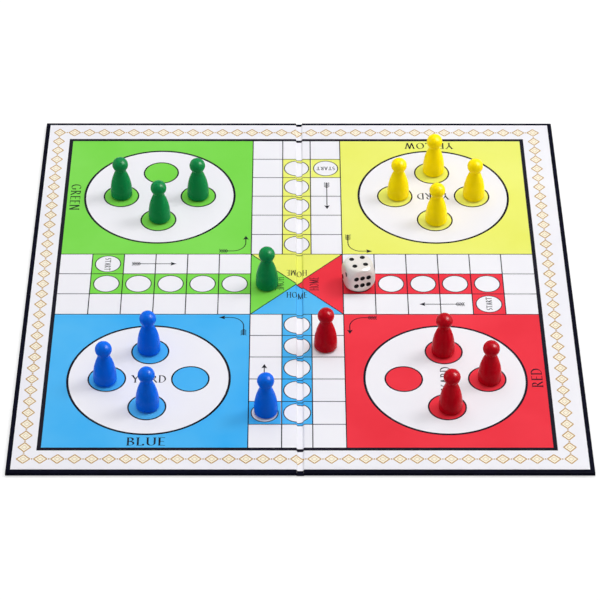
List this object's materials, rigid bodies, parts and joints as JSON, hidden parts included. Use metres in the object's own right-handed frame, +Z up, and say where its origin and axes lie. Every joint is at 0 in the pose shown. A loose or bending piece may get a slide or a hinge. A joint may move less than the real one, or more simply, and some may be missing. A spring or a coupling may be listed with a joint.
{
  "type": "folding ludo board",
  "caption": "Folding ludo board with cloth-covered leaves, printed playing sheet and creased spine, set out with its pawns and die; it closes like a book.",
  "frame": {"origin": "under the middle of the open board, on the surface it lies on", "axes": "+Z up from the underside, +Y along the fold towards the green and yellow side, +X towards the yellow and red side"},
  "size_m": [0.276, 0.276, 0.0264],
  "materials": {
    "greyboard": "matte",
    "navy_cloth": "satin",
    "filler_paper": "matte",
    "lining_cloth": "matte",
    "printed_sheet": "satin",
    "green_ink": "satin",
    "yellow_ink": "satin",
    "blue_ink": "satin",
    "red_ink": "satin",
    "black_ink": "satin",
    "gold_ink": "satin",
    "green_pawn": "gloss",
    "yellow_pawn": "gloss",
    "blue_pawn": "gloss",
    "red_pawn": "gloss",
    "die_ivory": "gloss",
    "pip_black": "satin"
  },
  "bodies": {
    "left_leaf": {"left_core": "greyboard", "left_cover": "navy_cloth", "left_filler": "filler_paper", "left_print": "printed_sheet", "left_green_ink": "green_ink", "left_yellow_ink": "yellow_ink", "left_blue_ink": "blue_ink", "left_black_ink": "black_ink", "left_gold_ink": "gold_ink"},
    "spine": {"spine_cover": "navy_cloth", "hinge_lining": "lining_cloth", "groove_print": "printed_sheet", "groove_yellow_ink": "yellow_ink", "groove_blue_ink": "blue_ink", "groove_red_ink": "red_ink"},
    "right_leaf": {"right_core": "greyboard", "right_cover": "navy_cloth", "right_filler": "filler_paper", "right_print": "printed_sheet", "right_yellow_ink": "yellow_ink", "right_red_ink": "red_ink", "right_blue_ink": "blue_ink", "right_black_ink": "black_ink", "right_gold_ink": "gold_ink"},
    "green_pawn_1": {"green_pawn_1": "green_pawn"},
    "green_pawn_2": {"green_pawn_2": "green_pawn"},
    "green_pawn_3": {"green_pawn_3": "green_pawn"},
    "green_pawn_4": {"green_pawn_4": "green_pawn"},
    "yellow_pawn_1": {"yellow_pawn_1": "yellow_pawn"},
    "yellow_pawn_2": {"yellow_pawn_2": "yellow_pawn"},
    "yellow_pawn_3": {"yellow_pawn_3": "yellow_pawn"},
    "yellow_pawn_4": {"yellow_pawn_4": "yellow_pawn"},
    "blue_pawn_1": {"blue_pawn_1": "blue_pawn"},
    "blue_pawn_2": {"blue_pawn_2": "blue_pawn"},
    "blue_pawn_3": {"blue_pawn_3": "blue_pawn"},
    "blue_pawn_4": {"blue_pawn_4": "blue_pawn"},
    "red_pawn_1": {"red_pawn_1": "red_pawn"},
    "red_pawn_2": {"red_pawn_2": "red_pawn"},
    "red_pawn_3": {"red_pawn_3": "red_pawn"},
    "red_pawn_4": {"red_pawn_4": "red_pawn"},
    "die": {"die": "die_ivory", "die_pips": "pip_black"}
  },
  "joints": [
    {"name": "spine_fold", "type": "hinge", "parent": "left_leaf", "child": "spine", "pos_m": [-0.00125, 0, 0.001], "axis": [0, -1, 0], "range_deg": [0, 90]},
    {"name": "leaf_fold", "type": "hinge", "parent": "spine", "child": "right_leaf", "pos_m": [0.00125, 0, 0.001], "axis": [0, -1, 0], "range_deg": [0, 90]},
    {"name": "green_pawn_1_lift", "type": "slide", "parent": "left_leaf", "child": "green_pawn_1", "axis": [0, 0, 1], "range_m": [0, 0.45]},
    {"name": "green_pawn_2_lift", "type": "slide", "parent": "left_leaf", "child": "green_pawn_2", "axis": [0, 0, 1], "range_m": [0, 0.45]},
    {"name": "green_pawn_3_lift", "type": "slide", "parent": "left_leaf", "child": "green_pawn_3", "axis": [0, 0, 1], "range_m": [0, 0.45]},
    {"name": "green_pawn_4_lift", "type": "slide", "parent": "left_leaf", "child": "green_pawn_4", "axis": [0, 0, 1], "range_m": [0, 0.45]},
    {"name": "yellow_pawn_1_lift", "type": "slide", "parent": "left_leaf", "child": "yellow_pawn_1", "axis": [0, 0, 1], "range_m": [0, 0.45]},
    {"name": "yellow_pawn_2_lift", "type": "slide", "parent": "left_leaf", "child": "yellow_pawn_2", "axis": [0, 0, 1], "range_m": [0, 0.45]},
    {"name": "yellow_pawn_3_lift", "type": "slide", "parent": "left_leaf", "child": "yellow_pawn_3", "axis": [0, 0, 1], "range_m": [0, 0.45]},
    {"name": "yellow_pawn_4_lift", "type": "slide", "parent": "left_leaf", "child": "yellow_pawn_4", "axis": [0, 0, 1], "range_m": [0, 0.45]},
    {"name": "blue_pawn_1_lift", "type": "slide", "parent": "left_leaf", "child": "blue_pawn_1", "axis": [0, 0, 1], "range_m": [0, 0.45]},
    {"name": "blue_pawn_2_lift", "type": "slide", "parent": "left_leaf", "child": "blue_pawn_2", "axis": [0, 0, 1], "range_m": [0, 0.45]},
    {"name": "blue_pawn_3_lift", "type": "slide", "parent": "left_leaf", "child": "blue_pawn_3", "axis": [0, 0, 1], "range_m": [0, 0.45]},
    {"name": "blue_pawn_4_lift", "type": "slide", "parent": "left_leaf", "child": "blue_pawn_4", "axis": [0, 0, 1], "range_m": [0, 0.45]},
    {"name": "red_pawn_1_lift", "type": "slide", "parent": "left_leaf", "child": "red_pawn_1", "axis": [0, 0, 1], "range_m": [0, 0.45]},
    {"name": "red_pawn_2_lift", "type": "slide", "parent": "left_leaf", "child": "red_pawn_2", "axis": [0, 0, 1], "range_m": [0, 0.45]},
    {"name": "red_pawn_3_lift", "type": "slide", "parent": "left_leaf", "child": "red_pawn_3", "axis": [0, 0, 1], "range_m": [0, 0.45]},
    {"name": "red_pawn_4_lift", "type": "slide", "parent": "left_leaf", "child": "red_pawn_4", "axis": [0, 0, 1], "range_m": [0, 0.45]},
    {"name": "die_lift", "type": "slide", "parent": "left_leaf", "child": "die", "axis": [0, 0, 1], "range_m": [0, 0.45]}
  ],
  "couplings": [
    {"joint": "leaf_fold", "follows": "spine_fold", "ratio": 1},
    {"joint": "green_pawn_1_lift", "follows": "spine_fold", "m_per_rad": 0.28},
    {"joint": "green_pawn_2_lift", "follows": "spine_fold", "m_per_rad": 0.28},
    {"joint": "green_pawn_3_lift", "follows": "spine_fold", "m_per_rad": 0.28},
    {"joint": "green_pawn_4_lift", "follows": "spine_fold", "m_per_rad": 0.28},
    {"joint": "yellow_pawn_1_lift", "follows": "spine_fold", "m_per_rad": 0.28},
    {"joint": "yellow_pawn_2_lift", "follows": "spine_fold", "m_per_rad": 0.28},
    {"joint": "yellow_pawn_3_lift", "follows": "spine_fold", "m_per_rad": 0.28},
    {"joint": "yellow_pawn_4_lift", "follows": "spine_fold", "m_per_rad": 0.28},
    {"joint": "blue_pawn_1_lift", "follows": "spine_fold", "m_per_rad": 0.28},
    {"joint": "blue_pawn_2_lift", "follows": "spine_fold", "m_per_rad": 0.28},
    {"joint": "blue_pawn_3_lift", "follows": "spine_fold", "m_per_rad": 0.28},
    {"joint": "blue_pawn_4_lift", "follows": "spine_fold", "m_per_rad": 0.28},
    {"joint": "red_pawn_1_lift", "follows": "spine_fold", "m_per_rad": 0.28},
    {"joint": "red_pawn_2_lift", "follows": "spine_fold", "m_per_rad": 0.28},
    {"joint": "red_pawn_3_lift", "follows": "spine_fold", "m_per_rad": 0.28},
    {"joint": "red_pawn_4_lift", "follows": "spine_fold", "m_per_rad": 0.28},
    {"joint": "die_lift", "follows": "spine_fold", "m_per_rad": 0.28}
  ]
}
